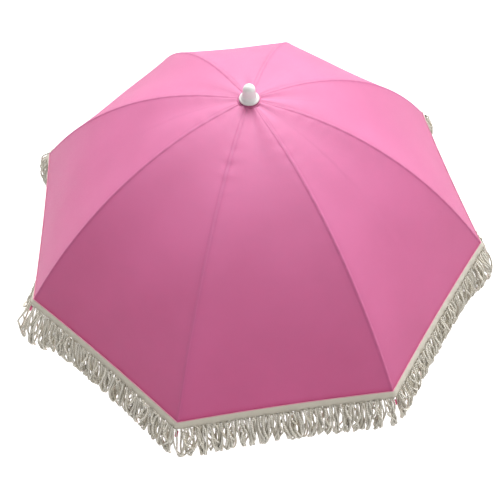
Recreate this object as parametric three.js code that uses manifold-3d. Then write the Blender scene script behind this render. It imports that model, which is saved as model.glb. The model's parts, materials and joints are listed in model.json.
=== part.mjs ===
// Beach parasol: a two-tube telescopic pole, a crown hub and a sliding runner that carry
// folding steel ribs and stretchers, a cloth canopy in rib-centred gores, a hanging cord
// fringe and a plastic finial.
// Millimetres, +Z up. The origin is the middle of the small flat end of the ground plug.

import * as THREE from 'three';
import { mergeVertices } from 'three/addons/utils/BufferGeometryUtils.js';
import Module from 'manifold-3d';

const wasm = await Module();
wasm.setup();

// Canopy
const RIB_COUNT = 8;
const RIB_STEP = (2 * Math.PI) / RIB_COUNT;
const FIRST_RIB_ANGLE = RIB_STEP / 2;
const RIM_RADIUS = 765;
const RIM_Z = 1683;
const CANOPY_RISE = 421;
const CROWN_Z = RIM_Z + CANOPY_RISE;
const CROWN_HOLE_RADIUS = 9;
const CLOTH_THICKNESS = 1.2;
const PANEL_SAG = 3;
const HEM_SCALLOP = 0.003;
const TAPE_WIDTH_SHARE = 0.0175;
const GAP = 0.3;

// Fringe
const FRINGE_DROP = 84;
const FRINGE_FLARE = 30;
const FRINGE_THICKNESS = 6;
const FRINGE_STAND_OFF = 4;

// Crown and finial
const PATCH_RADIUS = 32;
const HUB_TOP_Z = CROWN_Z - 3.3;
const HUB_DISC_BOTTOM_Z = CROWN_Z - 20.5;
const HUB_DISC_RADIUS = 26;
const HUB_PLUG_LENGTH = 38;
const HUB_SLOT_WIDTH = 4.2;
const HUB_SLOT_START = 12.6;
const STUD_RADIUS = 4;
const STUD_HOLE_RADIUS = 4.4;
const STUD_LENGTH_IN_FINIAL = 24;
const STUD_LENGTH_IN_HUB = 21;
const STUD_END_GAP = 1;
const PATCH_RISE = 1.8;
const FINIAL_BASE_Z = CROWN_Z + PATCH_RISE;
const FINIAL_COLLAR_RADIUS = 27;
const FINIAL_FOOT_RADIUS = 17.6;
const FINIAL_DOME_RADIUS = 16.6;
const FINIAL_DOME_BASE = 29;
const FINIAL_HEIGHT = 45;

// Ribs and stretchers
const RIB_DEPTH = 5;
const STRAP_THICKNESS = 3.2;
const STRAP_BEVEL = 0.7;
const RIB_OFFSET = 5;
const RIB_START_RADIUS = 30;
const RIB_END_RADIUS = 796;
const RIB_STEPS = 15;
const TIP_LENGTH = 20;
const TIP_SOCKET_DEPTH = 13;
const TIP_RADIUS = 4.8;
const TIP_SOCKET_RADIUS = 3.4;
const HUB_RING_RADIUS = 18;
const HUB_PIVOT_Z = CROWN_Z - 12.5;
const EYE_RADIUS = 4.5;
const EYE_HOLE_RADIUS = 1.8;
const RING_WIRE_RADIUS = 1.2;
const RING_GROOVE_RADIUS = 1.5;
const LUG_RIB_RADIUS = RIM_RADIUS / 2;
const LUG_DROP = 11;
const LUG_RADIUS = 5.5;
const STRETCHER_DEPTH = 6;
const STRETCHER_SIDE = 3.8;
const RUNNER_PIVOT_RADIUS = 27;
const RUNNER_PIVOT_Z = 1743;
const RUNNER_LENGTH_BELOW = 62;
const RUNNER_LENGTH_ABOVE = 7;
const RUNNER_GRIP_RADIUS = 24;
const RUNNER_NECK_RADIUS = 20;
const RUNNER_FLANGE_RADIUS = 33;
const RUNNER_SLOT_START = 22;
const RUNNER_SLOT_WIDTH = 4.4;
const RUNNER_PLAY = 0.6;
const RIVET_HEAD_RADIUS = 3.2;
const RIVET_HEAD_HEIGHT = 1.4;

// Pole
const UPPER_TUBE_RADIUS = 15;
const UPPER_TUBE_BORE = 13.2;
const UPPER_TUBE_BOTTOM_Z = 1045;
const LOWER_TUBE_RADIUS = 12.5;
const LOWER_TUBE_BORE = 11;
const LOWER_TUBE_BOTTOM_Z = 40;
const LOWER_TUBE_TOP_Z = 1340;
const PLUG_DEPTH = 39;
const BUSH_DEPTH = 30;
const BUSH_HEIGHT = 12;
const STOP_RING_RADIUS = 19;
const STOP_RING_HEIGHT = 6;
const COLLAR_BOTTOM_Z = 1004;
const COLLAR_TOP_Z = 1078;
const COLLAR_EDGE_RADIUS = 17.5;
const COLLAR_LOWER_RADIUS = 20;
const COLLAR_UPPER_RADIUS = 21.5;
const BOSS_RADIUS = 9;
const BOSS_END = 31;
const INSERT_START = 23;
const INSERT_RADIUS = 5.5;
const SCREW_Z = 1024;
const SCREW_RADIUS = 3;
const KNOB_START = 35;
const KNOB_DEPTH = 8;
const KNOB_RADIUS = 14.6;
const KNOB_LOBES = 6;
const KNOB_LOBE_DEPTH = 1.6;
const KNOB_BEVEL = 2;
const TUBE_SIDES = 32;

const WELD_DISTANCE = 1e-3;

const COLOURS = {
  canopy: 0xc95f95,
  fringe: 0xe4dcc8,
  whitePlastic: 0xf1f0ec,
  pinkPlastic: 0xd24c86,
  darkPlastic: 0x35363a,
  upperTube: 0xd3d5d8,
  lowerTube: 0x9fa3a8,
  steel: 0xb9bcc0,
  brass: 0xb9994f,
};

const group = new THREE.Group();
group.name = 'beach_parasol';

function addNode(name, geometry, colour, roughness, metalness) {
  const material = new THREE.MeshStandardMaterial({ color: colour, roughness, metalness });
  const mesh = new THREE.Mesh(geometry, material);
  mesh.name = name;
  group.add(mesh);
}

// Boolean work on closed meshes that carry positions only. Collapsed triangles are dropped.
function toSolid(geometry) {
  const bare = new THREE.BufferGeometry();
  bare.setAttribute('position', geometry.getAttribute('position').clone());
  if (geometry.index) {
    bare.setIndex(geometry.index.clone());
  }
  const merged = mergeVertices(bare, WELD_DISTANCE);
  const corners = merged.index.array;
  const kept = [];
  for (let i = 0; i < corners.length; i += 3) {
    const [a, b, c] = corners.slice(i, i + 3);
    if (a !== b && b !== c && c !== a) {
      kept.push(a, b, c);
    }
  }
  return new wasm.Manifold(
    new wasm.Mesh({
      numProp: 3,
      vertProperties: new Float32Array(merged.getAttribute('position').array),
      triVerts: new Uint32Array(kept),
    }),
  );
}

function toGeometry(solid) {
  const mesh = solid.getMesh();
  const geometry = new THREE.BufferGeometry();
  geometry.setAttribute('position', new THREE.BufferAttribute(mesh.vertProperties, 3));
  geometry.setIndex(new THREE.BufferAttribute(mesh.triVerts, 1));
  const split = geometry.toNonIndexed();
  split.computeVertexNormals();
  return split;
}

function combine(base, added, removed) {
  let solid = toSolid(base);
  for (const geometry of added) {
    solid = solid.add(toSolid(geometry));
  }
  for (const geometry of removed) {
    solid = solid.subtract(toSolid(geometry));
  }
  return toGeometry(solid);
}

// A turned piece. Each profile point is [radius, z].
function turned(points, sides = TUBE_SIDES) {
  const profile = points.map(([radius, z]) => new THREE.Vector2(radius, z));
  const geometry = new THREE.LatheGeometry(profile, sides);
  geometry.rotateX(Math.PI / 2);
  return geometry;
}

// A turned ring. The profile closes on itself.
function turnedRing(points, sides = TUBE_SIDES) {
  return turned([...points, points[0]], sides);
}

function tube(inner, outer, bottom, top, sides = TUBE_SIDES) {
  return turnedRing([[inner, bottom], [outer, bottom], [outer, top], [inner, top]], sides);
}

// A ring of round wire about the pole.
function wireRing(ringRadius, wireRadius, z, steps, sides) {
  const points = [];
  for (let i = 0; i < steps; i += 1) {
    const angle = (2 * Math.PI * i) / steps;
    points.push([ringRadius + wireRadius * Math.cos(angle), z + wireRadius * Math.sin(angle)]);
  }
  return turnedRing(points, sides);
}

function cylinderAlongX(radius, from, to, z, sides) {
  const geometry = new THREE.CylinderGeometry(radius, radius, to - from, sides);
  geometry.rotateZ(Math.PI / 2);
  geometry.translate((from + to) / 2, 0, z);
  return geometry;
}

// Height of the canopy's outer face over a rib, and its downward slope there.
function canopyZ(radius) {
  return RIM_Z + CANOPY_RISE * (1 - (radius / RIM_RADIUS) ** 2);
}

function canopySlope(radius) {
  return Math.atan((2 * CANOPY_RISE * radius) / RIM_RADIUS ** 2);
}

// The point at a depth below the canopy's outer face, measured square to the face.
function underCanopy(radius, depth) {
  const slope = canopySlope(radius);
  return new THREE.Vector2(
    radius - depth * Math.sin(slope),
    canopyZ(radius) - depth * Math.cos(slope),
  );
}

const hubPivot = new THREE.Vector2(HUB_RING_RADIUS, HUB_PIVOT_Z);
const runnerPivot = new THREE.Vector2(RUNNER_PIVOT_RADIUS, RUNNER_PIVOT_Z);
const lugPivot = underCanopy(LUG_RIB_RADIUS, LUG_DROP);

// A flat bar cut from an outline in the radius-height plane, centred on that plane.
function strap(shape, curveSegments) {
  const geometry = new THREE.ExtrudeGeometry(shape, {
    depth: STRAP_THICKNESS - 2 * STRAP_BEVEL,
    bevelEnabled: true,
    bevelThickness: STRAP_BEVEL,
    bevelSize: STRAP_BEVEL,
    bevelOffset: -STRAP_BEVEL,
    bevelSegments: 1,
    curveSegments,
  });
  geometry.translate(0, 0, STRAP_BEVEL - STRAP_THICKNESS / 2);
  geometry.rotateX(Math.PI / 2);
  return geometry;
}

function eyeHole(centre) {
  const hole = new THREE.Path();
  hole.absarc(centre.x, centre.y, EYE_HOLE_RADIUS, 0, 2 * Math.PI, false);
  return hole;
}

// A round rivet head on one side of a strap. side is +1 or -1.
function rivetHead(centre, planeOffset, side) {
  const root = side * (STRAP_THICKNESS / 2 - 0.4);
  const tip = side * (STRAP_THICKNESS / 2 + RIVET_HEAD_HEIGHT);
  const head = new THREE.CylinderGeometry(
    side > 0 ? RIVET_HEAD_RADIUS * 0.7 : RIVET_HEAD_RADIUS,
    side > 0 ? RIVET_HEAD_RADIUS : RIVET_HEAD_RADIUS * 0.7,
    Math.abs(tip - root),
    10,
  );
  head.translate(centre.x, planeOffset + (root + tip) / 2, centre.y);
  return head;
}

// The middle of the rib at a distance from the pole. It rises from its eye in the hub to lie
// just under the cloth, follows it, and drops a little towards its cap, past the hem.
function ribCentre(radius) {
  const joggle = 4.9 * Math.max(0, 1 - (radius - RIB_START_RADIUS) / 50) ** 2;
  const dip = 3.2 * Math.max(0, 1 - (RIB_END_RADIUS - radius) / 60);
  return underCanopy(radius, RIB_OFFSET + joggle + dip);
}

function ribGeometry() {
  const length = RIB_END_RADIUS - RIB_START_RADIUS;
  const centres = [];
  for (let i = 0; i <= RIB_STEPS; i += 1) {
    centres.push(ribCentre(RIB_START_RADIUS + length * (i / RIB_STEPS)));
  }
  const upper = [];
  const lower = [];
  centres.forEach((centre, i) => {
    const before = centres[Math.max(i - 1, 0)];
    const after = centres[Math.min(i + 1, RIB_STEPS)];
    const along = after.clone().sub(before).normalize();
    const across = new THREE.Vector2(-along.y, along.x).multiplyScalar(RIB_DEPTH / 2);
    upper.push(centre.clone().add(across));
    lower.unshift(centre.clone().sub(across));
  });
  const spread = Math.asin(RIB_DEPTH / 2 / EYE_RADIUS);
  const shape = new THREE.Shape([...upper, ...lower]);
  shape.absarc(hubPivot.x, hubPivot.y, EYE_RADIUS, -spread, spread, true);
  shape.holes.push(eyeHole(hubPivot));
  const lugShape = new THREE.Shape();
  lugShape.absarc(lugPivot.x, lugPivot.y, LUG_RADIUS, 0, 2 * Math.PI, false);
  return combine(strap(shape, 5), [strap(lugShape, 6), rivetHead(lugPivot, 0, -1)], []);
}

// The stretcher is a straight strap beside the rib's plane, from the runner to the rib's lug.
function stretcherGeometry() {
  const span = lugPivot.clone().sub(runnerPivot);
  const length = span.length();
  const spread = Math.asin(STRETCHER_DEPTH / 2 / EYE_RADIUS);
  const shape = new THREE.Shape();
  shape.absarc(0, 0, EYE_RADIUS, spread, 2 * Math.PI - spread, false);
  shape.absarc(length, 0, EYE_RADIUS, Math.PI + spread, 3 * Math.PI - spread, false);
  shape.holes.push(eyeHole(new THREE.Vector2(0, 0)));
  const geometry = strap(shape, 6);
  geometry.rotateY(-Math.atan2(span.y, span.x));
  geometry.translate(runnerPivot.x, STRETCHER_SIDE, runnerPivot.y);
  return combine(geometry, [rivetHead(lugPivot, STRETCHER_SIDE, 1)], []);
}

// A plastic cap on the rib's outer end, along the cloth's slope.
function ribTipGeometry() {
  const cap = turned([
    [0, TIP_SOCKET_DEPTH],
    [TIP_SOCKET_RADIUS, TIP_SOCKET_DEPTH],
    [TIP_SOCKET_RADIUS, 0],
    [TIP_RADIUS - 0.8, 0],
    [TIP_RADIUS, 0.8],
    [TIP_RADIUS, TIP_LENGTH - 4],
    [TIP_RADIUS * 0.75, TIP_LENGTH - 1.2],
    [0, TIP_LENGTH],
  ], 10);
  const slope = canopySlope(RIB_END_RADIUS) + 0.03;
  const start = ribCentre(RIB_END_RADIUS - (TIP_SOCKET_DEPTH - 1) * Math.cos(slope));
  cap.rotateY(Math.PI / 2 + slope);
  cap.translate(start.x, 0, start.y);
  return cap;
}

// A point of the octagonal canopy near one rib. share is the distance from the pole as a share
// of the rim radius, side runs from -1 to 1 between the middles of the two panels, and depth is
// measured below the outer face. The panels pull in a little between the ribs.
function canopyPoint(share, side, depth) {
  const across = Math.abs(side);
  const pull = across * (2 - across);
  const taut = share * (1 - HEM_SCALLOP * pull * share ** 3);
  const half = across / 2;
  const radial = new THREE.Vector3(
    1 - half + half * Math.cos(RIB_STEP),
    Math.sign(side) * half * Math.sin(RIB_STEP),
    0,
  );
  const slope = canopySlope(taut * RIM_RADIUS);
  const sag = PANEL_SAG * Math.min(1, share / 0.5) ** 2 * pull;
  const inward = depth + sag;
  const point = radial.clone().multiplyScalar(taut * RIM_RADIUS);
  point.addScaledVector(radial.normalize(), -inward * Math.sin(slope));
  point.z = canopyZ(taut * RIM_RADIUS) - inward * Math.cos(slope);
  return point;
}

// Bends a subdivided box. mapping takes three numbers from 0 to 1 and gives a point.
function bentBox(segments, mapping) {
  const geometry = new THREE.BoxGeometry(1, 1, 1, ...segments);
  const positions = geometry.getAttribute('position');
  for (let i = 0; i < positions.count; i += 1) {
    const point = mapping(
      positions.getX(i) + 0.5,
      positions.getY(i) + 0.5,
      positions.getZ(i) + 0.5,
    );
    positions.setXYZ(i, point.x, point.y, point.z);
  }
  geometry.computeVertexNormals();
  return geometry;
}

// One gore of cloth with its hem tape: from the crown hole to the tape's lower edge.
function goreGeometry() {
  const inner = CROWN_HOLE_RADIUS / RIM_RADIUS;
  const outer = 1 + TAPE_WIDTH_SHARE;
  return bentBox([4, 10, 1], (x, y, z) => {
    const share = inner + (outer - inner) * y;
    const halfWidth = share * RIM_RADIUS * Math.sin(RIB_STEP / 2);
    const side = (1 - 2 * x) * (1 - GAP / halfWidth);
    return canopyPoint(share, side, CLOTH_THICKNESS * (1 - z));
  });
}

// The space that one gore's fringe fills. It leaves the tape along the cloth and turns down.
function fringeGeometry() {
  const start = 1 + TAPE_WIDTH_SHARE + 0.0015;
  const halfWidth = start * RIM_RADIUS * Math.sin(RIB_STEP / 2);
  return bentBox([4, 4, 1], (x, y, z) => {
    const side = (2 * x - 1) * (1 - GAP / halfWidth);
    const root = canopyPoint(start, side, 0);
    const heading = (RIB_STEP / 2) * side;
    const fall = 1 - y;
    const splay = FRINGE_FLARE * (1 - (1 - fall) ** 1.6);
    const reach = splay + FRINGE_STAND_OFF + FRINGE_THICKNESS * z;
    root.x += reach * Math.cos(heading);
    root.y += reach * Math.sin(heading);
    root.z += 3 - FRINGE_DROP * fall;
    return root;
  });
}

// The cutters for the slots in a hub or runner, one box for each rib.
function slotCutters(from, to, width, planeOffset, bottom, top) {
  const cutters = [];
  for (let i = 0; i < RIB_COUNT; i += 1) {
    const slot = new THREE.BoxGeometry(to - from, width, top - bottom);
    slot.translate((from + to) / 2, planeOffset, (bottom + top) / 2);
    slot.rotateZ(FIRST_RIB_ANGLE + i * RIB_STEP);
    cutters.push(slot);
  }
  return cutters;
}

// The crown hub: a plug in the upper tube and a slotted disc that holds the ribs' wire ring.
function hubGeometry() {
  const top = HUB_TOP_Z;
  const discBottom = HUB_DISC_BOTTOM_Z;
  const plugBottom = discBottom - HUB_PLUG_LENGTH;
  const holeBottom = top - STUD_LENGTH_IN_HUB - STUD_END_GAP;
  const plug = UPPER_TUBE_BORE - GAP;
  const body = turned([
    [0, plugBottom],
    [plug - 1, plugBottom],
    [plug, plugBottom + 1],
    [plug, discBottom],
    [HUB_DISC_RADIUS - 1, discBottom],
    [HUB_DISC_RADIUS, discBottom + 1],
    [HUB_DISC_RADIUS, top - 1],
    [HUB_DISC_RADIUS - 1, top],
    [STUD_HOLE_RADIUS, top],
    [STUD_HOLE_RADIUS, holeBottom],
    [0, holeBottom],
  ]);
  const slotEnd = HUB_DISC_RADIUS + 4;
  const slots = slotCutters(
    HUB_SLOT_START, slotEnd, HUB_SLOT_WIDTH, 0, discBottom - 1, HUB_PIVOT_Z + EYE_RADIUS + 1,
  );
  const groove = wireRing(HUB_RING_RADIUS, RING_GROOVE_RADIUS, HUB_PIVOT_Z, 8, TUBE_SIDES);
  return combine(body, [], [...slots, groove]);
}

// The runner: a sleeve that slides on the upper tube, with a slotted flange for the stretchers.
function runnerGeometry() {
  const bore = UPPER_TUBE_RADIUS + RUNNER_PLAY;
  const grip = RUNNER_GRIP_RADIUS;
  const neck = RUNNER_NECK_RADIUS;
  const flange = RUNNER_FLANGE_RADIUS;
  const z = RUNNER_PIVOT_Z;
  const bottom = z - RUNNER_LENGTH_BELOW;
  const top = z + RUNNER_LENGTH_ABOVE;
  const body = turnedRing([
    [bore, bottom],
    [grip - 2, bottom],
    [grip, bottom + 3],
    [grip, bottom + 7],
    [neck, bottom + 12],
    [neck, z - 18],
    [grip, z - 11],
    [flange - 1, z - 10],
    [flange, z - 9],
    [flange, top - 1],
    [flange - 1, top],
    [bore, top],
  ]);
  const slotBottom = z - EYE_RADIUS - 1.1;
  const slots = slotCutters(
    RUNNER_SLOT_START, flange + 4, RUNNER_SLOT_WIDTH, STRETCHER_SIDE, slotBottom, top + 2,
  );
  const groove = wireRing(runnerRingRadius(), RING_GROOVE_RADIUS, z, 8, TUBE_SIDES);
  return combine(body, [], [...slots, groove]);
}

// The runner's ring passes through eyes that sit beside the ribs' planes.
function runnerRingRadius() {
  return Math.hypot(RUNNER_PIVOT_RADIUS, STRETCHER_SIDE);
}

// The clamp collar: pressed on the upper tube, close round the lower one, with a screw boss.
function collarGeometry() {
  const bottom = COLLAR_BOTTOM_Z;
  const top = COLLAR_TOP_Z;
  const step = UPPER_TUBE_BOTTOM_Z - GAP;
  const body = turnedRing([
    [LOWER_TUBE_RADIUS + GAP, bottom],
    [COLLAR_EDGE_RADIUS, bottom],
    [COLLAR_LOWER_RADIUS, bottom + 3],
    [COLLAR_LOWER_RADIUS, step - 4],
    [COLLAR_UPPER_RADIUS, step],
    [COLLAR_UPPER_RADIUS, top - 8],
    [COLLAR_EDGE_RADIUS, top],
    [UPPER_TUBE_RADIUS + GAP, top],
    [UPPER_TUBE_RADIUS + GAP, step],
    [LOWER_TUBE_RADIUS + GAP, step],
  ]);
  const past = BOSS_END + 2;
  const boss = cylinderAlongX(BOSS_RADIUS, COLLAR_LOWER_RADIUS - 3, BOSS_END, SCREW_Z, 24);
  const bossHole = cylinderAlongX(SCREW_RADIUS + GAP, 10, past, SCREW_Z, 20);
  const insertPocket = cylinderAlongX(INSERT_RADIUS + GAP, INSERT_START - GAP, past, SCREW_Z, 20);
  return combine(body, [boss], [bossHole, insertPocket]);
}

// The brass threaded insert in the boss.
function insertGeometry() {
  const ring = tube(SCREW_RADIUS + GAP, INSERT_RADIUS, INSERT_START, BOSS_END, 20);
  ring.rotateY(Math.PI / 2);
  ring.translate(0, 0, SCREW_Z);
  return ring;
}

// The hand knob with its screw. The head has rounded lobes.
function knobGeometry() {
  const steps = 36;
  const outline = [];
  for (let i = 0; i < steps; i += 1) {
    const angle = (2 * Math.PI * i) / steps;
    const radius = KNOB_RADIUS + KNOB_LOBE_DEPTH * Math.cos(KNOB_LOBES * angle);
    outline.push(new THREE.Vector2(radius * Math.cos(angle), radius * Math.sin(angle)));
  }
  const head = new THREE.ExtrudeGeometry(new THREE.Shape(outline), {
    depth: KNOB_DEPTH,
    bevelEnabled: true,
    bevelThickness: KNOB_BEVEL,
    bevelSize: KNOB_BEVEL,
    bevelOffset: -KNOB_BEVEL,
    bevelSegments: 2,
  });
  head.rotateY(Math.PI / 2);
  head.translate(KNOB_START, 0, SCREW_Z);
  const shankStart = LOWER_TUBE_RADIUS + GAP;
  const shank = cylinderAlongX(SCREW_RADIUS, shankStart, KNOB_START + KNOB_BEVEL, SCREW_Z, 20);
  return combine(head, [shank], []);
}

// The finial: a domed cap that rises from a flared collar, with a blind hole for its stud.
function finialGeometry() {
  const z = FINIAL_BASE_Z;
  const collar = FINIAL_COLLAR_RADIUS;
  const foot = FINIAL_FOOT_RADIUS;
  const profile = [
    [0, z + STUD_LENGTH_IN_FINIAL + STUD_END_GAP],
    [STUD_HOLE_RADIUS, z + STUD_LENGTH_IN_FINIAL + STUD_END_GAP],
    [STUD_HOLE_RADIUS, z],
    [collar - 1.5, z - 0.4],
    [collar, z + 1],
    [collar, z + 3.6],
    [collar - 1.2, z + 5.4],
    [collar - 4, z + 7],
    [foot + 4, z + 9],
    [foot + 1.2, z + 12],
    [foot, z + 17],
  ];
  const steps = 9;
  for (let i = 0; i < steps; i += 1) {
    const angle = (Math.PI / 2) * (i / steps);
    const rise = (FINIAL_HEIGHT - FINIAL_DOME_BASE) * Math.sin(angle);
    profile.push([FINIAL_DOME_RADIUS * Math.cos(angle), z + FINIAL_DOME_BASE + rise]);
  }
  profile.push([0, z + FINIAL_HEIGHT]);
  return turned(profile);
}

// The round cloth patch over the crown hole.
function crownPatchGeometry() {
  return turnedRing([
    [CROWN_HOLE_RADIUS, CROWN_Z + 0.3],
    [PATCH_RADIUS, CROWN_Z - 0.7],
    [PATCH_RADIUS, CROWN_Z + 0.4],
    [CROWN_HOLE_RADIUS, CROWN_Z + 1.4],
  ]);
}

// The ground plug: a tapered foot with a small flat end, plugged into the lower tube.
function groundPlugGeometry() {
  const shoulder = LOWER_TUBE_BOTTOM_Z - GAP;
  const plug = LOWER_TUBE_BORE - GAP;
  return turned([
    [0, 0],
    [4, 0],
    [6, 1.2],
    [11.5, 22],
    [LOWER_TUBE_RADIUS + 0.6, 30],
    [LOWER_TUBE_RADIUS + 0.6, shoulder],
    [plug, shoulder],
    [plug, shoulder + PLUG_DEPTH - 1],
    [plug - 1, shoulder + PLUG_DEPTH],
    [0, shoulder + PLUG_DEPTH],
  ]);
}

// The guide bush on the lower tube's top end, which centres it in the upper tube.
function bushGeometry() {
  const plug = LOWER_TUBE_BORE - GAP;
  const guide = UPPER_TUBE_BORE - GAP;
  return turned([
    [0, LOWER_TUBE_TOP_Z - BUSH_DEPTH],
    [plug, LOWER_TUBE_TOP_Z - BUSH_DEPTH],
    [plug, LOWER_TUBE_TOP_Z + GAP],
    [guide, LOWER_TUBE_TOP_Z + GAP],
    [guide, LOWER_TUBE_TOP_Z + BUSH_HEIGHT - 1],
    [guide - 1, LOWER_TUBE_TOP_Z + BUSH_HEIGHT],
    [0, LOWER_TUBE_TOP_Z + BUSH_HEIGHT],
  ]);
}

function addPole() {
  const upperTop = HUB_DISC_BOTTOM_Z - GAP;
  const stopBottom = RUNNER_PIVOT_Z + RUNNER_LENGTH_ABOVE + GAP;
  const lowerTube = tube(
    LOWER_TUBE_BORE, LOWER_TUBE_RADIUS, LOWER_TUBE_BOTTOM_Z, LOWER_TUBE_TOP_Z,
  );
  const upperTube = tube(UPPER_TUBE_BORE, UPPER_TUBE_RADIUS, UPPER_TUBE_BOTTOM_Z, upperTop);
  const stopTop = stopBottom + STOP_RING_HEIGHT;
  const stopRing = tube(UPPER_TUBE_RADIUS + GAP, STOP_RING_RADIUS, stopBottom, stopTop);
  addNode('ground_plug', groundPlugGeometry(), COLOURS.darkPlastic, 0.6, 0);
  addNode('lower_pole', lowerTube, COLOURS.lowerTube, 0.35, 0.8);
  addNode('pole_bush', bushGeometry(), COLOURS.darkPlastic, 0.6, 0);
  addNode('upper_pole', upperTube, COLOURS.upperTube, 0.4, 0.3);
  addNode('lock_collar', collarGeometry(), COLOURS.whitePlastic, 0.5, 0);
  addNode('lock_insert', insertGeometry(), COLOURS.brass, 0.35, 1);
  addNode('lock_knob', knobGeometry(), COLOURS.whitePlastic, 0.5, 0);
  addNode('runner_stop', stopRing, COLOURS.whitePlastic, 0.5, 0);
}

function addCrown() {
  const studBottom = HUB_TOP_Z - STUD_LENGTH_IN_HUB;
  const studTop = FINIAL_BASE_Z + STUD_LENGTH_IN_FINIAL;
  const stud = turned([
    [0, studBottom],
    [STUD_RADIUS, studBottom],
    [STUD_RADIUS, studTop],
    [0, studTop],
  ], 20);
  const hubWire = wireRing(HUB_RING_RADIUS, RING_WIRE_RADIUS, HUB_PIVOT_Z, 8, TUBE_SIDES);
  const runnerWire = wireRing(
    runnerRingRadius(), RING_WIRE_RADIUS, RUNNER_PIVOT_Z, 8, TUBE_SIDES,
  );
  addNode('crown_hub', hubGeometry(), COLOURS.whitePlastic, 0.5, 0);
  addNode('hub_wire', hubWire, COLOURS.steel, 0.3, 1);
  addNode('finial_stud', stud, COLOURS.steel, 0.3, 1);
  addNode('finial', finialGeometry(), COLOURS.whitePlastic, 0.35, 0);
  addNode('crown_patch', crownPatchGeometry(), COLOURS.canopy, 0.9, 0);
  addNode('runner', runnerGeometry(), COLOURS.whitePlastic, 0.5, 0);
  addNode('runner_wire', runnerWire, COLOURS.steel, 0.3, 1);
}

// Every rib's set is the same set turned about the pole.
function addRibSets() {
  const sets = [
    ['rib', ribGeometry(), COLOURS.steel, 0.35, 0.9],
    ['rib_tip', ribTipGeometry(), COLOURS.pinkPlastic, 0.5, 0],
    ['stretcher', stretcherGeometry(), COLOURS.steel, 0.35, 0.9],
    ['canopy', goreGeometry(), COLOURS.canopy, 0.9, 0],
    ['fringe', fringeGeometry(), COLOURS.fringe, 0.95, 0],
  ];
  for (const [name, geometry, colour, roughness, metalness] of sets) {
    for (let i = 0; i < RIB_COUNT; i += 1) {
      const copy = geometry.clone();
      copy.rotateZ(FIRST_RIB_ANGLE + i * RIB_STEP);
      addNode(`${name}_${i + 1}`, copy, colour, roughness, metalness);
    }
  }
}

addPole();
addCrown();
addRibSets();

export default group;
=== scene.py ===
import json
import math
import random

import bpy
import numpy as np
from mathutils import Matrix, Vector


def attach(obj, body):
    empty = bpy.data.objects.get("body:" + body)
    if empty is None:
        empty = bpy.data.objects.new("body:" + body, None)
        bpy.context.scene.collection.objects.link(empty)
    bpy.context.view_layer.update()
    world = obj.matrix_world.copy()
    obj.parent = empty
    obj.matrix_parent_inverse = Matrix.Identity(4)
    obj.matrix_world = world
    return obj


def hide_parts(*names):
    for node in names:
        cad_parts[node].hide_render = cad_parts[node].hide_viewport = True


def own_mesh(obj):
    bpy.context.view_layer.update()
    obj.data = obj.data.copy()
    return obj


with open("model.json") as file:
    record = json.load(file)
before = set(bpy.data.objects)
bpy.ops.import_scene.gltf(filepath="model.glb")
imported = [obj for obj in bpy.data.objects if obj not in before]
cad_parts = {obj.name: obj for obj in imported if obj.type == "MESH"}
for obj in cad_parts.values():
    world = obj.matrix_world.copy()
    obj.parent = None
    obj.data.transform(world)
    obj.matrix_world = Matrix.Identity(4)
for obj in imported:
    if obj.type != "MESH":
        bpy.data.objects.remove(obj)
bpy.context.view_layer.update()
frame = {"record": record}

# ---------------------------------------------------------------- sizes, in metres
RIB_COUNT = 8
STEP = 2 * math.pi / RIB_COUNT
FIRST_RIB = STEP / 2
RIM_RADIUS = 0.765
RIM_Z = 1.683
RISE = 0.421
CROWN_Z = RIM_Z + RISE
RIM_SLOPE = math.atan(2 * RISE / RIM_RADIUS)
PANEL_SAG = 0.003
HEM_SCALLOP = 0.003
TAPE_END = 1.0175
CLOTH_THICKNESS = 0.0010
CROWN_HOLE = 0.009
PATCH_RADIUS = 0.0321
FOLD = math.radians(52)
HUB_RADIUS = 0.018
HUB_DROP = 0.0125
FRINGE_HINGE_RADIUS = 0.7795
FRINGE_HINGE_Z = 1.66685


# ---------------------------------------------------------------- camera
def add_camera():
    """High in front of the canopy, a little to the left, and close to it."""
    turn, lift, roll = math.radians(6.556), math.radians(60.462), math.radians(-1.362)
    distance, shift_x, shift_y = 1.5501, -0.0029, -0.1887
    back = Vector((0, -math.cos(lift), math.sin(lift)))
    side = Vector((1, 0, 0))
    up = back.cross(side)
    right = math.cos(roll) * side + math.sin(roll) * up
    top = -math.sin(roll) * side + math.cos(roll) * up
    eye = back * distance + right * shift_x + top * shift_y
    spin = Matrix.Rotation(-turn, 3, "Z")
    eye, right, top, back = spin @ eye, spin @ right, spin @ top, spin @ back
    data = bpy.data.cameras.new("camera")
    data.sensor_width = 36
    data.lens = 32.3712
    camera = bpy.data.objects.new("camera", data)
    bpy.context.scene.collection.objects.link(camera)
    turned = Matrix((right, top, back)).transposed().to_4x4()
    turned.translation = eye + Vector((0, 0, RIM_Z))
    camera.matrix_world = turned
    bpy.context.scene.camera = camera


add_camera()


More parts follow.
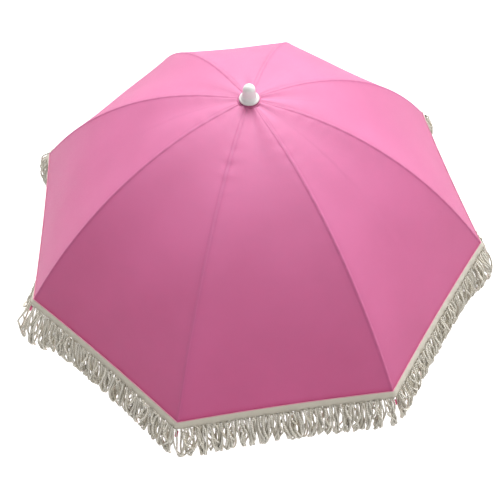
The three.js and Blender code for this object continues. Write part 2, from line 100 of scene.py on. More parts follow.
# ---------------------------------------------------------------- materials
class Shader:
    """A small helper that adds and joins shader nodes."""

    def __init__(self, name):
        self.material = bpy.data.materials.new(name)
        self.material.use_nodes = True
        self.tree = self.material.node_tree
        self.surface = self.tree.nodes["Principled BSDF"]
        self.output = self.tree.nodes["Material Output"]

    def add(self, kind, **settings):
        node = self.tree.nodes.new(kind)
        for key, value in settings.items():
            if hasattr(node, key):
                setattr(node, key, value)
            else:
                node.inputs[key].default_value = value
        return node

    def link(self, out, into):
        self.tree.links.new(out, into)

    def set(self, **values):
        for key, value in values.items():
            self.surface.inputs[key.replace("_", " ")].default_value = value

    def math(self, operation, a, b=None):
        node = self.add("ShaderNodeMath", operation=operation)
        for socket, value in zip(node.inputs, (a, b)):
            if isinstance(value, (int, float)):
                socket.default_value = value
            elif value is not None:
                self.link(value, socket)
        return node.outputs[0]

    def attribute(self, name):
        return self.add("ShaderNodeAttribute", attribute_name=name).outputs["Fac"]

    def object_noise(self, scale, detail=3, rough=0.5):
        where = self.add("ShaderNodeTexCoord")
        noise = self.add("ShaderNodeTexNoise")
        noise.inputs["Scale"].default_value = scale
        noise.inputs["Detail"].default_value = detail
        noise.inputs["Roughness"].default_value = rough
        self.link(where.outputs["Object"], noise.inputs["Vector"])
        return noise.outputs["Fac"]

    def ramp(self, factor, *stops):
        node = self.add("ShaderNodeValToRGB")
        elements = node.color_ramp.elements
        while len(elements) < len(stops):
            elements.new(0.5)
        for element, (position, colour) in zip(elements, stops):
            element.position = position
            element.color = (*colour, 1)
        self.link(factor, node.inputs["Fac"])
        return node.outputs["Color"]

    def mix(self, factor, a, b, blend="MIX"):
        node = self.add("ShaderNodeMix", data_type="RGBA", blend_type=blend)
        for socket, value in zip((node.inputs[0], node.inputs[6], node.inputs[7]), (factor, a, b)):
            if isinstance(value, (int, float)):
                socket.default_value = value
            elif isinstance(value, tuple):
                socket.default_value = (*value, 1)
            else:
                self.link(value, socket)
        return node.outputs[2]

    def bump(self, height, distance, strength=1.0, before=None):
        node = self.add("ShaderNodeBump")
        node.inputs["Strength"].default_value = strength
        node.inputs["Distance"].default_value = distance
        self.link(height, node.inputs["Height"])
        if before is not None:
            self.link(before, node.inputs["Normal"])
        self.link(node.outputs["Normal"], self.surface.inputs["Normal"])
        return node.outputs["Normal"]

    def uv_parts(self):
        parts = self.add("ShaderNodeSeparateXYZ")
        self.link(self.add("ShaderNodeUVMap").outputs["UV"], parts.inputs[0])
        return parts.outputs["X"], parts.outputs["Y"]


def weave_height(shader, threads_per_metre):
    """A plain weave from the cloth's own flat coordinates, in metres."""
    across, along = shader.uv_parts()
    pitch = math.pi * threads_per_metre
    warp = shader.math("SINE", shader.math("MULTIPLY", across, pitch))
    weft = shader.math("SINE", shader.math("MULTIPLY", along, pitch))
    return shader.math("MULTIPLY", warp, weft)


def cloth_material():
    s = Shader("canopy_cloth")
    noise = s.object_noise(5.0, 4, 0.55)
    # Paler pink towards the crown and deeper pink towards the rim, by the reach attribute; the
    # noise varies the tone at random.
    paler_crown = s.ramp(noise, (0.3, (0.775, 0.26, 0.49)), (0.7, (0.825, 0.285, 0.535)))
    deeper_rim = s.ramp(noise, (0.3, (0.665, 0.147, 0.352)), (0.7, (0.71, 0.163, 0.388)))
    base = s.mix(s.ramp(s.attribute("reach"), (0.3, (0, 0, 0)), (1.0, (1, 1, 1))), paler_crown, deeper_rim)
    # Seams darker: the stitched seam's own darker line, and painted shade in the groove beside its
    # ridge.
    seam = s.attribute("seam")
    seam_colour_and_shade = s.mix(s.math("MULTIPLY", seam, 0.22), base, (0.56, 0.09, 0.27))
    # Deeper pink over the last few millimetres above the hem: the doubled hem cloth, and painted
    # shade in the fold just above the tape.
    hem = s.attribute("hem")
    final = s.mix(s.math("MULTIPLY", hem, 0.45), seam_colour_and_shade, (0.62, 0.07, 0.24))
    s.link(final, s.surface.inputs["Base Color"])
    s.set(Roughness=0.55, Sheen_Weight=0.30, Sheen_Roughness=0.35)
    s.surface.inputs["Sheen Tint"].default_value = (1.0, 0.86, 0.94, 1)
    s.surface.inputs["Specular IOR Level"].default_value = 0.4
    normal = s.bump(weave_height(s, 1400), 0.00012, 0.5)
    s.bump(s.object_noise(38, 3), 0.0012, 0.25, normal)
    glow = s.add("ShaderNodeBsdfTranslucent")
    s.link(s.mix(0.5, final, (0.80, 0.10, 0.26)), glow.inputs["Color"])
    blend = s.add("ShaderNodeMixShader")
    blend.inputs[0].default_value = 0.30
    s.link(s.surface.outputs[0], blend.inputs[1])
    s.link(glow.outputs[0], blend.inputs[2])
    s.link(blend.outputs[0], s.output.inputs["Surface"])
    return s.material


def piping_material():
    s = Shader("hem_piping")
    s.link(s.ramp(s.object_noise(60), (0.3, (0.62, 0.24, 0.33)), (0.7, (0.72, 0.34, 0.42))),
           s.surface.inputs["Base Color"])
    s.set(Roughness=0.7, Sheen_Weight=0.2)
    s.bump(s.object_noise(700), 0.0003, 0.5)
    return s.material


def cotton_material(name, light, mid, groove_shade, stripes, turn, depth):
    """Cotton yarn. Its twist or weave comes from the piece's own coordinates."""
    s = Shader(name)
    along, around = s.uv_parts()
    wave = s.math("SINE", s.math("ADD", s.math("MULTIPLY", along, stripes),
                                 s.math("MULTIPLY", around, turn)))
    groove = s.math("ADD", s.math("MULTIPLY", wave, 0.5), 0.5)
    mottle = s.object_noise(28, 4, 0.6)
    # Loops vary in tone at random; loops of the inner tier are darker and those of the outer tier
    # lighter, which is painted shade.
    tone_and_tier_shade = s.mix(s.math("MULTIPLY", s.attribute("tone"), 0.8), light, mid)
    base = s.mix(s.math("MULTIPLY", mottle, 0.5), tone_and_tier_shade, mid)
    # Darker in the grooves of the yarn's twist and the tape's weave: painted shade.
    s.link(s.mix(s.math("MULTIPLY", s.math("SUBTRACT", 1.0, groove), 0.55), base, groove_shade),
           s.surface.inputs["Base Color"])
    s.set(Roughness=0.85, Sheen_Weight=0.35, Sheen_Roughness=0.5)
    s.surface.inputs["Specular IOR Level"].default_value = 0.2
    normal = s.bump(groove, depth, 0.9)
    s.bump(s.object_noise(900, 2), 0.0003, 0.6, normal)
    return s.material


def plastic_material(name, colour, roughness, texture=0.0002, subsurface=0.0):
    s = Shader(name)
    noise = s.object_noise(30, 4)
    dull = tuple(c * 0.93 for c in colour)
    s.link(s.ramp(noise, (0.35, dull), (0.65, colour)), s.surface.inputs["Base Color"])
    grain = s.add("ShaderNodeMapRange")
    grain.inputs["To Min"].default_value = roughness - 0.05
    grain.inputs["To Max"].default_value = roughness + 0.08
    s.link(s.object_noise(90), grain.inputs["Value"])
    s.link(grain.outputs[0], s.surface.inputs["Roughness"])
    s.surface.inputs["Subsurface Weight"].default_value = subsurface
    s.surface.inputs["Subsurface Radius"].default_value = (0.004, 0.004, 0.004)
    s.bump(s.object_noise(1500, 2), texture, 0.3)
    return s.material


def metal_material(name, colour, roughness, metallic, scratch_stretch):
    """Metal with fine drawn lines along the part and faint handling marks."""
    s = Shader(name)
    where = s.add("ShaderNodeTexCoord")
    scale = s.add("ShaderNodeMapping")
    scale.inputs["Scale"].default_value = scratch_stretch
    s.link(where.outputs["Object"], scale.inputs["Vector"])
    lines = s.add("ShaderNodeTexNoise")
    lines.inputs["Scale"].default_value = 60
    lines.inputs["Detail"].default_value = 4
    s.link(scale.outputs[0], lines.inputs["Vector"])
    worn = tuple(c * 0.82 for c in colour)
    s.link(s.ramp(s.object_noise(9, 5, 0.6), (0.38, worn), (0.62, colour)),
           s.surface.inputs["Base Color"])
    spread = s.add("ShaderNodeMapRange")
    spread.inputs["To Min"].default_value = roughness - 0.08
    spread.inputs["To Max"].default_value = roughness + 0.12
    s.link(lines.outputs["Fac"], spread.inputs["Value"])
    s.link(spread.outputs[0], s.surface.inputs["Roughness"])
    s.set(Metallic=metallic)
    s.bump(lines.outputs["Fac"], 0.00015, 0.35)
    return s.material


CLOTH = cloth_material()
PIPING = piping_material()
CORD = cotton_material("fringe_cord", (0.93, 0.91, 0.85), (0.62, 0.56, 0.42),
                       (0.34, 0.28, 0.18), 2 * math.pi / 0.0065, 2 * math.pi * 2, 0.0009)
TAPE = cotton_material("hem_tape", (0.80, 0.74, 0.63), (0.62, 0.57, 0.46),
                       (0.52, 0.47, 0.37), 2 * math.pi / 0.0034, 2 * math.pi / 0.0048, 0.0006)
MATERIALS = {
    "finial_plastic": plastic_material("finial_plastic", (0.90, 0.89, 0.87), 0.32, 0.0001, 0.15),
    "white_plastic": plastic_material("white_plastic", (0.84, 0.84, 0.82), 0.45),
    "pink_plastic": plastic_material("pink_plastic", (0.72, 0.06, 0.22), 0.4),
    "dark_plastic": plastic_material("dark_plastic", (0.045, 0.047, 0.052), 0.5),
    "upper_tube": metal_material("upper_tube", (0.66, 0.68, 0.70), 0.32, 0.35, (1, 1, 0.02)),
    "lower_tube": metal_material("lower_tube", (0.42, 0.44, 0.46), 0.34, 0.75, (1, 1, 0.02)),
    "frame_steel": metal_material("frame_steel", (0.62, 0.64, 0.66), 0.33, 0.95, (0.3, 0.3, 0.3)),
    "brass": metal_material("brass", (0.72, 0.50, 0.20), 0.3, 1.0, (1, 1, 1)),
}


def dress_cad_nodes():
    slots = {p["node"]: p["material_slot"] for p in frame["record"]["subparts"]}
    for node, name in slots.items():
        if name in MATERIALS:
            mesh = bpy.data.objects[node].data
            mesh.materials.clear()
            mesh.materials.append(MATERIALS[name])


dress_cad_nodes()


# ---------------------------------------------------------------- canopy surface
def canopy_z(radius):
    return RIM_Z + RISE * (1 - (radius / RIM_RADIUS) ** 2)


def canopy_slope(radius):
    return np.arctan(2 * RISE * radius / RIM_RADIUS**2)


def canopy_point(share, side, lift=0.0):
    """Points on the cloth's outer face, near the rib along +X. share is the distance from the
    pole as a share of the rim radius, and side runs from -1 to 1 between panel middles."""
    share, side = np.broadcast_arrays(np.asarray(share, float), np.asarray(side, float))
    across = np.abs(side)
    pull = across * (2 - across)
    taut = share * (1 - HEM_SCALLOP * pull * share**3)
    half = across / 2
    x = 1 - half + half * math.cos(STEP)
    y = np.sign(side) * half * math.sin(STEP)
    length = np.hypot(x, y)
    radius = taut * RIM_RADIUS
    slope = canopy_slope(radius)
    inward = PANEL_SAG * np.minimum(1, share / 0.5) ** 2 * pull - lift
    reach = radius - inward * np.sin(slope) / length
    z = canopy_z(radius) - inward * np.cos(slope)
    return np.stack([x * reach, y * reach, z], -1)


def turn(points, angle):
    c, s = math.cos(angle), math.sin(angle)
    x, y = points[..., 0] * c - points[..., 1] * s, points[..., 0] * s + points[..., 1] * c
    return np.stack([x, y, points[..., 2]], -1)


def half_width(share):
    return share * RIM_RADIUS * math.sin(STEP / 2)


def arc_length(share):
    """Length along the rib from the pole, by the parabola's arc formula."""
    k = 2 * RISE / RIM_RADIUS
    t = k * share
    return RIM_RADIUS / (2 * k) * (t * np.sqrt(1 + t * t) + np.arcsinh(t))


RIM_ARC = float(arc_length(1.0))


def closed_share(share):
    """How much of its width a stretch of gore keeps when the ribs are folded."""
    middle = (1 + math.cos(STEP)) / 2
    reach = middle * share * RIM_RADIUS
    drop = RISE * share**2 - HUB_DROP
    folded = HUB_RADIUS + (reach - HUB_RADIUS) * math.cos(FOLD) - drop * math.sin(FOLD)
    return min(1.0, max(0.08, folded / reach))


# Where each rib's seam is puckered crosswise, as a length from the crown, and how deeply.
PUCKER_ARCS = (0.20, 0.16, 0.24, 0.18, 0.15, 0.21, 0.19, 0.17)
PUCKER_DEPTHS = (0.0004, 0.0003, 0.0003, 0.0004, 0.0005, 0.0019, 0.0009, 0.0008)
SEAM_COLUMNS = np.array([0.0, 1.0, 2.2, 3.4, 4.4, 5.6, 8.0]) / 1000
PLAIN_COLUMNS = 12
SEAM_FULL_WIDTH = 0.03


def seam_scale(width):
    """Seams narrow near the crown, where half a gore is narrower than SEAM_FULL_WIDTH."""
    return min(1.0, width / SEAM_FULL_WIDTH)


def column_distances(width):
    """Distances from the rib, close together over the seam and even beyond it."""
    seam = SEAM_COLUMNS * seam_scale(width)
    rest = seam[-1] + (width - seam[-1]) * np.arange(1, PLAIN_COLUMNS + 1) / PLAIN_COLUMNS
    return np.concatenate([seam, rest])


def cloth_relief(arc, distance, width, rib, way):
    """Height of the cloth over its smooth surface: the felled seam, puckers and slack. Every
    term meets its mirror image on the seam and in the middle of the panel."""
    scale = seam_scale(width)
    panel = rib if way > 0 else (rib - 1) % RIB_COUNT
    across = distance / (2 * width) if way > 0 else 1 - distance / (2 * width)
    off_seam = 1 - np.exp(-((distance / 0.004) ** 2))
    off_middle = np.clip((width - distance) / 0.02, 0, 1)
    from_hem = RIM_ARC - arc
    ridge = 0.0006 * np.clip((0.0052 * scale - distance) / 0.0016, 0, 1)
    valley = -0.0003 * np.exp(-(((distance - 0.0068 * scale) / 0.0018) ** 2))
    phase = 1.7 * rib + 0.9 * way
    wander = 0.8 * np.sin(arc * 31 + phase)
    side_pucker = 0.0007 * np.sin(arc * 2 * math.pi / 0.041 + phase + wander)
    side_pucker = side_pucker * np.exp(-distance / 0.020) * off_seam * off_middle
    near = np.exp(-(((arc - PUCKER_ARCS[rib]) / 0.06) ** 2)) * PUCKER_DEPTHS[rib]
    cross_pucker = near * np.sin(arc * 2 * math.pi / 0.044) * np.exp(-((distance / 0.024) ** 2))
    crown = 0.0016 * np.exp(-arc / 0.10) * np.sin(3 * math.pi * across) * scale
    gather = 0.0012 * np.exp(-from_hem / 0.045) * np.sin(2 * math.pi * 8.5 * across + 2.1 * panel)
    gather = gather * np.sin(math.pi * across)
    slack = 0.0022 * np.sin(arc * 9.5 + 1.9 * panel) * np.sin(2 * math.pi * across + panel)
    slack = slack * np.sin(math.pi * across) * np.clip(from_hem / 0.1, 0, 1)
    return ridge + valley + side_pucker + cross_pucker * off_middle + crown + gather + slack


def half_gore(rib, way, shares):
    """Outer face of half a gore: points, unit normals, and what the cloth material reads."""
    points, marks, flat = [], [], []
    for share in shares:
        width = half_width(share)
        distance = column_distances(width)
        arc = float(arc_length(share))
        lift = cloth_relief(arc, distance, width, rib, way)
        row = canopy_point(share, way * distance / width, lift)
        row[0, 1] = 0.0
        points.append(row)
        scale = seam_scale(width)
        # Seam mark: the stitched seam's darker line, and painted shade in the groove beside the
        # seam's ridge.
        seam = np.exp(-(((distance - 0.0060 * scale) / 0.0022) ** 2))
        seam = seam + 0.25 * (distance < 0.0045 * scale)
        # Hem mark: the doubled hem's deeper pink, and painted shade in its fold above the tape.
        hem = np.full(len(distance), np.clip((0.006 - (RIM_ARC - arc)) / 0.004, 0, 1))
        reach = np.full(len(distance), share)
        marks.append(np.stack([np.clip(seam, 0, 1), hem, reach], -1))
        flat.append(np.stack([way * distance, np.full(len(distance), arc)], -1))
    points = np.array(points)
    down = np.gradient(points, axis=0)
    across = np.gradient(points, axis=1)
    normal = np.cross(down, across) * way
    square = way * STEP / 2 + math.pi / 2
    middle = np.array([math.cos(square), math.sin(square), 0])
    normal[:, -1] -= np.outer(normal[:, -1] @ middle, middle)
    normal[:, 0, 1] = 0
    normal /= np.linalg.norm(normal, axis=-1, keepdims=True)
    return points, normal, np.array(marks), np.array(flat)


class Builder:
    """Collects vertices, faces and per-vertex data for one piece."""

    def __init__(self):
        self.points, self.normals, self.marks, self.flat, self.faces = [], [], [], [], []
        self.count = 0

    def grid(self, points, normals, marks, flat, flip):
        rows, columns = points.shape[:2]
        for store, data in ((self.points, points), (self.normals, normals),
                            (self.marks, marks), (self.flat, flat)):
            store.append(data.reshape(rows * columns, -1))
        index = self.count + np.arange(rows * columns).reshape(rows, columns)
        a, b, c, d = index[:-1, :-1], index[1:, :-1], index[1:, 1:], index[:-1, 1:]
        quads = np.stack([a, d, c, b] if flip else [a, b, c, d], -1).reshape(-1, 4)
        self.faces.append(quads)
        self.count += rows * columns

    def make(self, name, material, shape_normals=True):
        mesh = bpy.data.meshes.new(name)
        points = np.concatenate(self.points)
        faces = np.concatenate(self.faces)
        mesh.from_pydata(points.tolist(), [], faces.tolist())
        flat = np.concatenate(self.flat)
        uv = mesh.uv_layers.new(name="flat")
        corner = np.empty(len(mesh.loops), np.int32)
        mesh.loops.foreach_get("vertex_index", corner)
        uv.data.foreach_set("uv", flat[corner].astype(np.float32).ravel())
        if self.marks[0].shape[-1] == 3:
            marks = np.concatenate(self.marks)
            for column, label in enumerate(("seam", "hem", "reach")):
                attribute = mesh.attributes.new(label, "FLOAT", "POINT")
                attribute.data.foreach_set("value", marks[:, column].astype(np.float32))
        else:
            tones = np.concatenate(self.marks).ravel()
            attribute = mesh.attributes.new("tone", "FLOAT", "POINT")
            attribute.data.foreach_set("value", tones.astype(np.float32))
        mesh.polygons.foreach_set("use_smooth", np.ones(len(faces), bool))
        if shape_normals:
            mesh.normals_split_custom_set_from_vertices(np.concatenate(self.normals).tolist())
        mesh.materials.append(material)
        mesh.update()
        piece = bpy.data.objects.new(name, mesh)
        bpy.context.scene.collection.objects.link(piece)
        return piece


BANDS = 14
ROWS_PER_BAND = 4
FIRST_SHARE = CROWN_HOLE / RIM_RADIUS
ROWS = BANDS * ROWS_PER_BAND
gore_shares = FIRST_SHARE + (1 - FIRST_SHARE) * np.arange(ROWS + 1) / ROWS


def rib_angle(index):
    return FIRST_RIB + index * STEP


def tangent(index):
    angle = rib_angle(index)
    return (-math.sin(angle), math.cos(angle), 0)


def on_rib(piece, index):
    """The piece goes with its rib."""
    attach(piece, f"rib_set_{index + 1}")
    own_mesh(piece)


def below_rib_end(piece, index, way):
    """Half a gore's cords hang from the tape and go with its fringe set; the tape's draw-in and
    rise between folded ribs are worked out but not applied.
    """
    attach(piece, f"fringe_set_{index + 1}")
    angle = rib_angle(index)
    outward = Vector((math.cos(angle), math.sin(angle), 0))
    across = way * Vector(tangent(index))
    inset = half_width(1.0) * math.sin(STEP / 2)
    half = half_width(1.0) * math.cos(STEP / 2)
    folded = half * closed_share(1.0) * across - inset * math.cos(FOLD) * outward
    folded.z += inset * math.sin(FOLD)
    anchor = outward * FRINGE_HINGE_RADIUS
    anchor.z = FRINGE_HINGE_Z
    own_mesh(piece)


def add_walls(builder, outer, inner, marks, flat, way):
    """Closes half a band at its two ends and along its edge in the middle of the panel."""
    for row, before, flip in ((0, 1, way > 0), (-1, -2, way < 0)):
        away = outer[row] - outer[before]
        away /= np.linalg.norm(away, axis=-1, keepdims=True)
        builder.grid(np.stack([outer[row], inner[row]]), np.stack([away, away]),
                     np.stack([marks[row]] * 2), np.stack([flat[row]] * 2), flip)
    away = outer[:, -1] - outer[:, -2]
    away /= np.linalg.norm(away, axis=-1, keepdims=True)
    builder.grid(np.stack([outer[:, -1], inner[:, -1]], 1), np.stack([away, away], 1),
                 np.stack([marks[:, -1]] * 2, 1), np.stack([flat[:, -1]] * 2, 1), way < 0)


def add_gore(index):
    halves = {way: half_gore(index, way, gore_shares) for way in (-1, 1)}
    bands = []
    for band in range(BANDS):
        rows = slice(band * ROWS_PER_BAND, (band + 1) * ROWS_PER_BAND + 1)
        builder = Builder()
        for way, (points, normal, marks, flat) in halves.items():
            p, n = turn(points[rows], rib_angle(index)), turn(normal[rows], rib_angle(index))
            inner = p - n * CLOTH_THICKNESS
            builder.grid(p, n, marks[rows], flat[rows], way < 0)
            builder.grid(inner, -n, marks[rows], flat[rows], way > 0)
            add_walls(builder, p, inner, marks[rows], flat[rows], way)
        piece = builder.make(f"canopy_cloth_{index + 1}_{band + 1}", CLOTH)
        if band == 0:
            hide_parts(f"canopy_{index + 1}")
        on_rib(piece, index)
        bands.append(piece)
    return bands


canopy_bands = [add_gore(index) for index in range(RIB_COUNT)]


# ---------------------------------------------------------------- hem, tape and fringe
def sweep(builder, path, radius, sides, uv_start=0.0, tone=0.0):
    """A round cord along a path of points, open at the ends."""
    path = np.asarray(path)
    ahead = np.gradient(path, axis=0)
    ahead /= np.linalg.norm(ahead, axis=1, keepdims=True)
    first = np.cross(ahead[0], (0.3, 0.5, 0.81))
    frames = []
    for direction in ahead:
        first = first - direction * (first @ direction)
        first = first / np.linalg.norm(first)
        frames.append((first, np.cross(direction, first)))
    angles = 2 * math.pi * np.arange(sides + 1) / sides
    ring = np.array([[np.cos(a) * u + np.sin(a) * v for a in angles] for u, v in frames])
    radius = np.broadcast_to(radius, len(path))
    points = path[:, None] + ring * radius[:, None, None]
    run = np.concatenate([[0], np.cumsum(np.linalg.norm(np.diff(path, axis=0), axis=1))]) + uv_start
    flat = np.stack(np.broadcast_arrays(run[:, None], (angles / (2 * math.pi))[None]), -1)
    builder.grid(points, ring, np.full((*points.shape[:2], 1), tone), flat, True)


LEAN_BEARING = math.radians(263)
FRONT_RIBS = (4, 5, 6, 7)
HEM_SHARE = 0.9985
TAPE_WIDTH = (TAPE_END - HEM_SHARE) * RIM_RADIUS / math.cos(RIM_SLOPE)


def facing(index, side):
    """1 on the three panels that the canopy was tipped towards, where the hem and its cords
    stand out, and 0 on the others, where they hang straight down."""
    side = np.asarray(side, float)
    over_rib = np.clip((side * half_width(1.0) + 0.03) / 0.045, 0, 1)
    if index == FRONT_RIBS[0]:
        share = over_rib
    elif index == FRONT_RIBS[-1]:
        share = np.clip((0.03 - side * half_width(1.0)) / 0.045, 0, 1)
    else:
        share = np.full(side.shape, float(index in FRONT_RIBS))
    return share * share * (3 - 2 * share)


def hem_bearing(index, side):
    return rib_angle(index) + STEP / 2 * np.clip(np.asarray(side) / 0.15, -1, 1)


def hem_tilt(index, side):
    """How steeply the tape lies: along the cloth on the front and at the ribs' ends, and nearly
    upright between the ribs on the other sides."""
    slack = 1 - np.exp(-((np.asarray(side) / 0.24) ** 2))
    steep = math.radians(40) * (1 - facing(index, side)) * slack
    return RIM_SLOPE + steep


def below_hem(index, side, along, lift):
    """Points on the tape: along is the distance from the hem, and lift is square to the tape."""
    side, along, lift = np.broadcast_arrays(np.asarray(side, float), along, lift)
    points = turn(canopy_point(HEM_SHARE, side), rib_angle(index))
    bearing, tilt = hem_bearing(index, side), hem_tilt(index, side)
    bend = np.clip(along / 0.006, 0, 1)
    tilt = RIM_SLOPE + (tilt - RIM_SLOPE) * bend
    out = along * np.cos(tilt) + lift * np.sin(tilt)
    points[..., 0] += out * np.cos(bearing)
    points[..., 1] += out * np.sin(bearing)
    points[..., 2] += lift * np.cos(tilt) - along * np.sin(tilt)
    return points


def add_piping(index):
    builder = Builder()
    sweep(builder, below_hem(index, np.linspace(-1, 1, 61), 0.0004, 0.0010), 0.0012, 8)
    piece = builder.make(f"hem_piping_{index + 1}", PIPING)
    on_rib(piece, index)
    return piece


def add_tape(index):
    """The woven header: a thick flat band from the hem to its own lower edge."""
    builder = Builder()
    columns, rows = 81, 9
    side = np.linspace(-1, 1, columns)
    width = np.linspace(0, 1, rows)
    ripple = 0.0006 * np.sin(side * 47 + index) + 0.0004 * np.sin(side * 111 + 2 * index)
    crown = 0.0004 * np.sin(np.pi * width)
    for lift, flip in ((0.0019, False), (-0.0004, True)):
        height = lift + crown[:, None] * (1 if lift > 0 else -1) + ripple[None] * width[:, None]
        p = below_hem(index, side[None], TAPE_WIDTH * width[:, None], height)
        n = np.cross(np.gradient(p, axis=0), np.gradient(p, axis=1))
        n /= np.linalg.norm(n, axis=-1, keepdims=True)
        run = side * half_width(1.0)
        flat = np.stack(np.broadcast_arrays(run[None], (width * TAPE_WIDTH)[:, None]), -1)
        builder.grid(p, n if not flip else -n, np.zeros((rows, columns, 1)), flat, flip)
    sweep(builder, below_hem(index, side, TAPE_WIDTH, 0.0007), 0.0016, 6)
    piece = builder.make(f"hem_tape_{index + 1}", TAPE)
    on_rib(piece, index)
    return piece


FRINGE_DOWN = 0.084
FRINGE_SPLAY = 0.005
CORNER_SPLAYS = (0.044, 0.030, 0.030, 0.046, 0.036, 0.004, 0.004, 0.024)
RIB_GAP = 0.006
FRINGE_LEAN = 0.054
CORD_RADIUS = 0.0027
LOOP_PITCH = 0.0051


def cluster_centres(dice, width):
    centres, at = [], -width
    while at < width:
        at += dice.uniform(0.020, 0.040)
        centres.append((at, dice.uniform(0.84, 1.06), dice.uniform(0.40, 0.92)))
    return centres


def loop_path(dice, anchor, cluster, tier):
    """A hanging loop, as (along the hem, share of the fall, stand-off): down one leg, round
    the bottom and up the other. Neighbouring loops draw together at the bottom."""
    centre, length, draw = cluster
    length = min(1.08, max(0.5, length * dice.uniform(0.78, 1.12)))
    leg = np.linspace(0, 1, 15)
    open_width = dice.choice((0.0016, 0.0022, 0.0040, 0.0070, 0.0100))
    turns = dice.uniform(0.5, 2.2) * dice.choice((-1, 1))
    sway = dice.uniform(-0.009, 0.009)
    target = anchor + (centre - anchor) * draw + sway
    phase = dice.uniform(0, math.pi)
    stand = 0.0035 * tier + dice.uniform(-0.0015, 0.0015)
    legs = []
    for sign in (-1, 1):
        gap = 0.0022 + open_width * np.sin(np.pi * leg**0.8) * 0.9
        spin = phase + turns * math.pi * leg**1.3
        bow = 0.004 * math.sin(phase) * np.sin(np.pi * leg)
        along = anchor + (target - anchor) * leg**1.6 + bow + sign * gap * np.cos(spin * (leg > 0))
        out = stand + sign * gap * np.sin(spin) * np.minimum(1, leg * 4)
        legs.append(np.stack([along, leg * length, out], -1))
    down, up = legs[0], legs[1][::-1]
    bottom = (down[-1] + up[0]) / 2 + np.array([0, 0.035, 0])
    corner_a = down[-1] * 0.55 + bottom * 0.45 + np.array([0, 0.012, 0])
    corner_b = up[0] * 0.55 + bottom * 0.45 + np.array([0, 0.012, 0])
    return np.concatenate([down, [corner_a, bottom, corner_b], up])


def hang(path, index):
    """Places a loop's own coordinates below the tape of one gore."""
    width = half_width(TAPE_END)
    side = np.clip(path[:, 0] / width, -1.02, 1.02)
    root = below_hem(index, side, TAPE_WIDTH - 0.001, 0.0009)
    bearing = hem_bearing(index, side)
    share = facing(index, side)
    fall = path[:, 1]
    swing = 1 - np.maximum(0, 1 - fall) ** 1.6
    corner = CORNER_SPLAYS[index] * np.exp(-((side / 0.34) ** 2))
    out = (FRINGE_SPLAY + corner + 0.55 * FRINGE_LEAN * share) * swing
    lean = 0.45 * FRINGE_LEAN * share * swing
    tilt = hem_tilt(index, side) * (1 - np.minimum(1, fall)) + 0.5
    out = out + path[:, 2] * np.sin(tilt)
    root[:, 0] += out * np.cos(bearing) + lean * math.cos(LEAN_BEARING)
    root[:, 1] += out * np.sin(bearing) + lean * math.sin(LEAN_BEARING)
    root[:, 2] += path[:, 2] * np.cos(tilt) - FRINGE_DOWN * fall
    return root


def add_fringe(index):
    """The cords below one gore, in two halves."""
    dice = random.Random(4100 + index)
    width = half_width(TAPE_END)
    clusters = cluster_centres(dice, width)
    builders = {-1: Builder(), 1: Builder()}
    count = round(2 * width / LOOP_PITCH)
    for number in range(count):
        anchor = -width + (number + 0.5) * 2 * width / count + dice.uniform(-0.0015, 0.0015)
        if abs(anchor) < RIB_GAP:
            continue
        near = min(clusters, key=lambda c: abs(c[0] - anchor))
        tier = number % 3 - 1
        path = loop_path(dice, anchor, near, tier)
        radius = CORD_RADIUS * dice.uniform(0.85, 1.2)
        # Each loop's tone varies at random; the tier term darkens inner loops and lightens outer
        # ones as painted shade.
        tone = min(1.0, max(0.0, dice.uniform(-0.3, 0.6) - 0.3 * tier))
        builder = builders[1 if anchor > 0 else -1]
        sweep(builder, hang(path, index), radius, 6, dice.uniform(0, 0.01), tone)
    pieces = []
    for way, builder in builders.items():
        side = "a" if way < 0 else "b"
        piece = builder.make(f"cord_fringe_{index + 1}_{side}", CORD, shape_normals=False)
        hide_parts(f"fringe_{index + 1}")
        below_rib_end(piece, index, way)
        pieces.append(piece)
    return pieces


hems = [[add_piping(index), add_tape(index), *add_fringe(index)] for index in range(RIB_COUNT)]


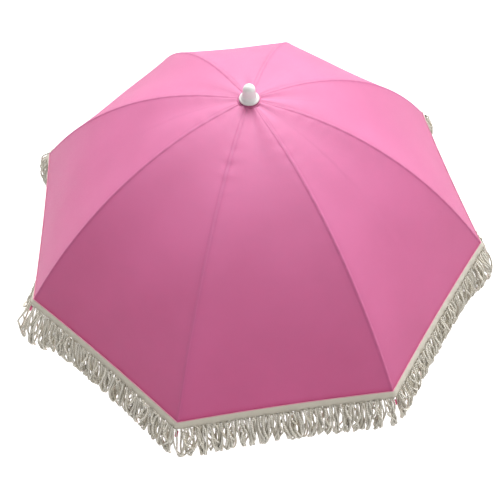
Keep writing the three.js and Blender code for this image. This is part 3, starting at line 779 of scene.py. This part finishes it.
# ---------------------------------------------------------------- crown patch
def add_crown_patch():
    """A round patch of the canopy's cloth under the finial, with a turned and stitched edge."""
    builder = Builder()
    turned_edge = [0.0287, 0.0300, 0.0312, 0.0318, PATCH_RADIUS]
    radii = np.concatenate([np.linspace(CROWN_HOLE, 0.0270, 8), turned_edge])
    edge = np.array([0] * 8 + [0.0002, 0.0003, 0.0001, -0.0003, -0.0008])
    angles = np.linspace(0, 2 * math.pi, 97)
    for thickness, flip in ((0.0011, True), (0.0003, False)):
        lift = thickness + (edge if flip else 0)
        wave = 0.0003 * np.sin(angles * 8 + 0.4)[None] * (radii / 0.032)[:, None] ** 2
        z = CROWN_Z + 0.0003 - 0.0010 * ((radii - CROWN_HOLE) / 0.023) + lift
        p = np.stack([radii[:, None] * np.cos(angles), radii[:, None] * np.sin(angles),
                      z[:, None] + wave], -1)
        n = np.cross(np.gradient(p, axis=1), np.gradient(p, axis=0))
        n *= np.sign(n[..., 2:]) * (1 if flip else -1)
        n /= np.linalg.norm(n, axis=-1, keepdims=True)
        marks = np.zeros((len(radii), len(angles), 3))
        marks[:, :, 0] = (np.abs(radii - 0.0277) < 0.0012)[:, None] * 0.8
        # The whole patch takes the hem's deeper pink: doubled cloth, and painted shade under the
        # finial's collar.
        marks[:, :, 1] = 1.0
        builder.grid(p, n, marks, p[..., :2].copy(), not flip)
    piece = builder.make("crown_patch_cloth", CLOTH)
    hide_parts("crown_patch")
    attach(piece, "upper")
    return piece


crown_patch = add_crown_patch()


# ---------------------------------------------------------------- stage
def stage_material(name, colour, glow):
    s = Shader(name)
    s.set(Base_Color=(*colour, 1), Roughness=0.9)
    s.surface.inputs["Emission Color"].default_value = (1, 1, 1, 1)
    s.surface.inputs["Emission Strength"].default_value = glow
    return s.material


def add_stage():
    bpy.context.scene.view_settings.view_transform = "Standard"
    bpy.ops.mesh.primitive_plane_add(size=40, location=(0, 0, 0))
    floor = bpy.context.object
    floor.name = "floor"
    floor.data.materials.append(stage_material("floor", (0.85, 0.85, 0.85), 0.35))
    world = bpy.data.worlds.new("studio")
    bpy.context.scene.world = world
    world.use_nodes = True
    world.node_tree.nodes["Background"].inputs["Color"].default_value = (1, 1, 1, 1)
    world.node_tree.nodes["Background"].inputs["Strength"].default_value = 0.36
    for name, bearing, height, power, size in (
        ("key", 77, 42, 4.7, 30),
        ("fill", 334, 33, 0.85, 60),
    ):
        data = bpy.data.lights.new(name, "SUN")
        data.energy = power
        data.angle = math.radians(size)
        lamp = bpy.data.objects.new(name, data)
        a, e = math.radians(bearing), math.radians(height)
        towards = Vector((math.cos(a) * math.cos(e), math.sin(a) * math.cos(e), math.sin(e)))
        lamp.rotation_euler = towards.to_track_quat("Z", "Y").to_euler()
        bpy.context.scene.collection.objects.link(lamp)


add_stage()
